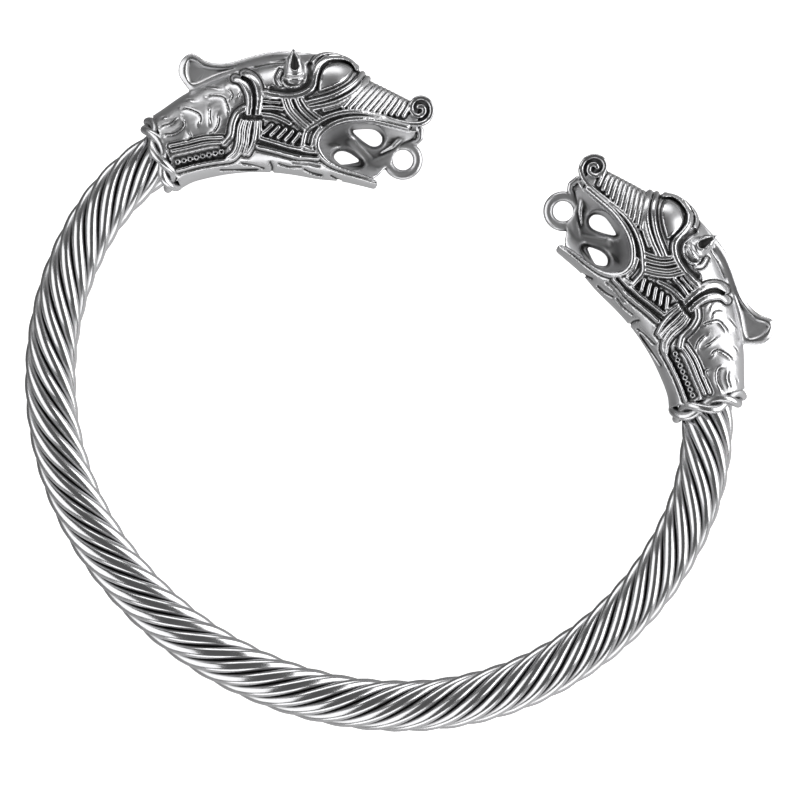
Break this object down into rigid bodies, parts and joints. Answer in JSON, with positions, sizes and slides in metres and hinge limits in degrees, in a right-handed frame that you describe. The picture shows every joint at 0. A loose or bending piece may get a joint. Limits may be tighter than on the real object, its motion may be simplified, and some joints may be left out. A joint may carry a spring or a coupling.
{
  "type": "arm ring",
  "caption": "Open arm ring of twisted round wires with a dragon head cast on each end, worn on the wrist or forearm.",
  "frame": {"origin": "middle of the wrist opening, on the ring's middle plane", "axes": "+Z square to the ring's plane, towards the side that shows; +Y through the gap between the two heads; +X to the right seen from +Z"},
  "size_m": [0.0754, 0.0678, 0.0092],
  "materials": {
    "cast_heads": "polished cast steel with darkened recesses",
    "cable_wire": "polished round wire with darkened seams",
    "core_wire": "plain drawn wire, dull"
  },
  "bodies": {
    "root": {"head_left": "cast_heads", "head_right": "cast_heads", "core": "core_wire", "strand_1": "cable_wire", "strand_2": "cable_wire", "strand_3": "cable_wire", "strand_4": "cable_wire", "strand_5": "cable_wire", "strand_6": "cable_wire", "strand_7": "cable_wire", "strand_8": "cable_wire"}
  },
  "joints": []
}
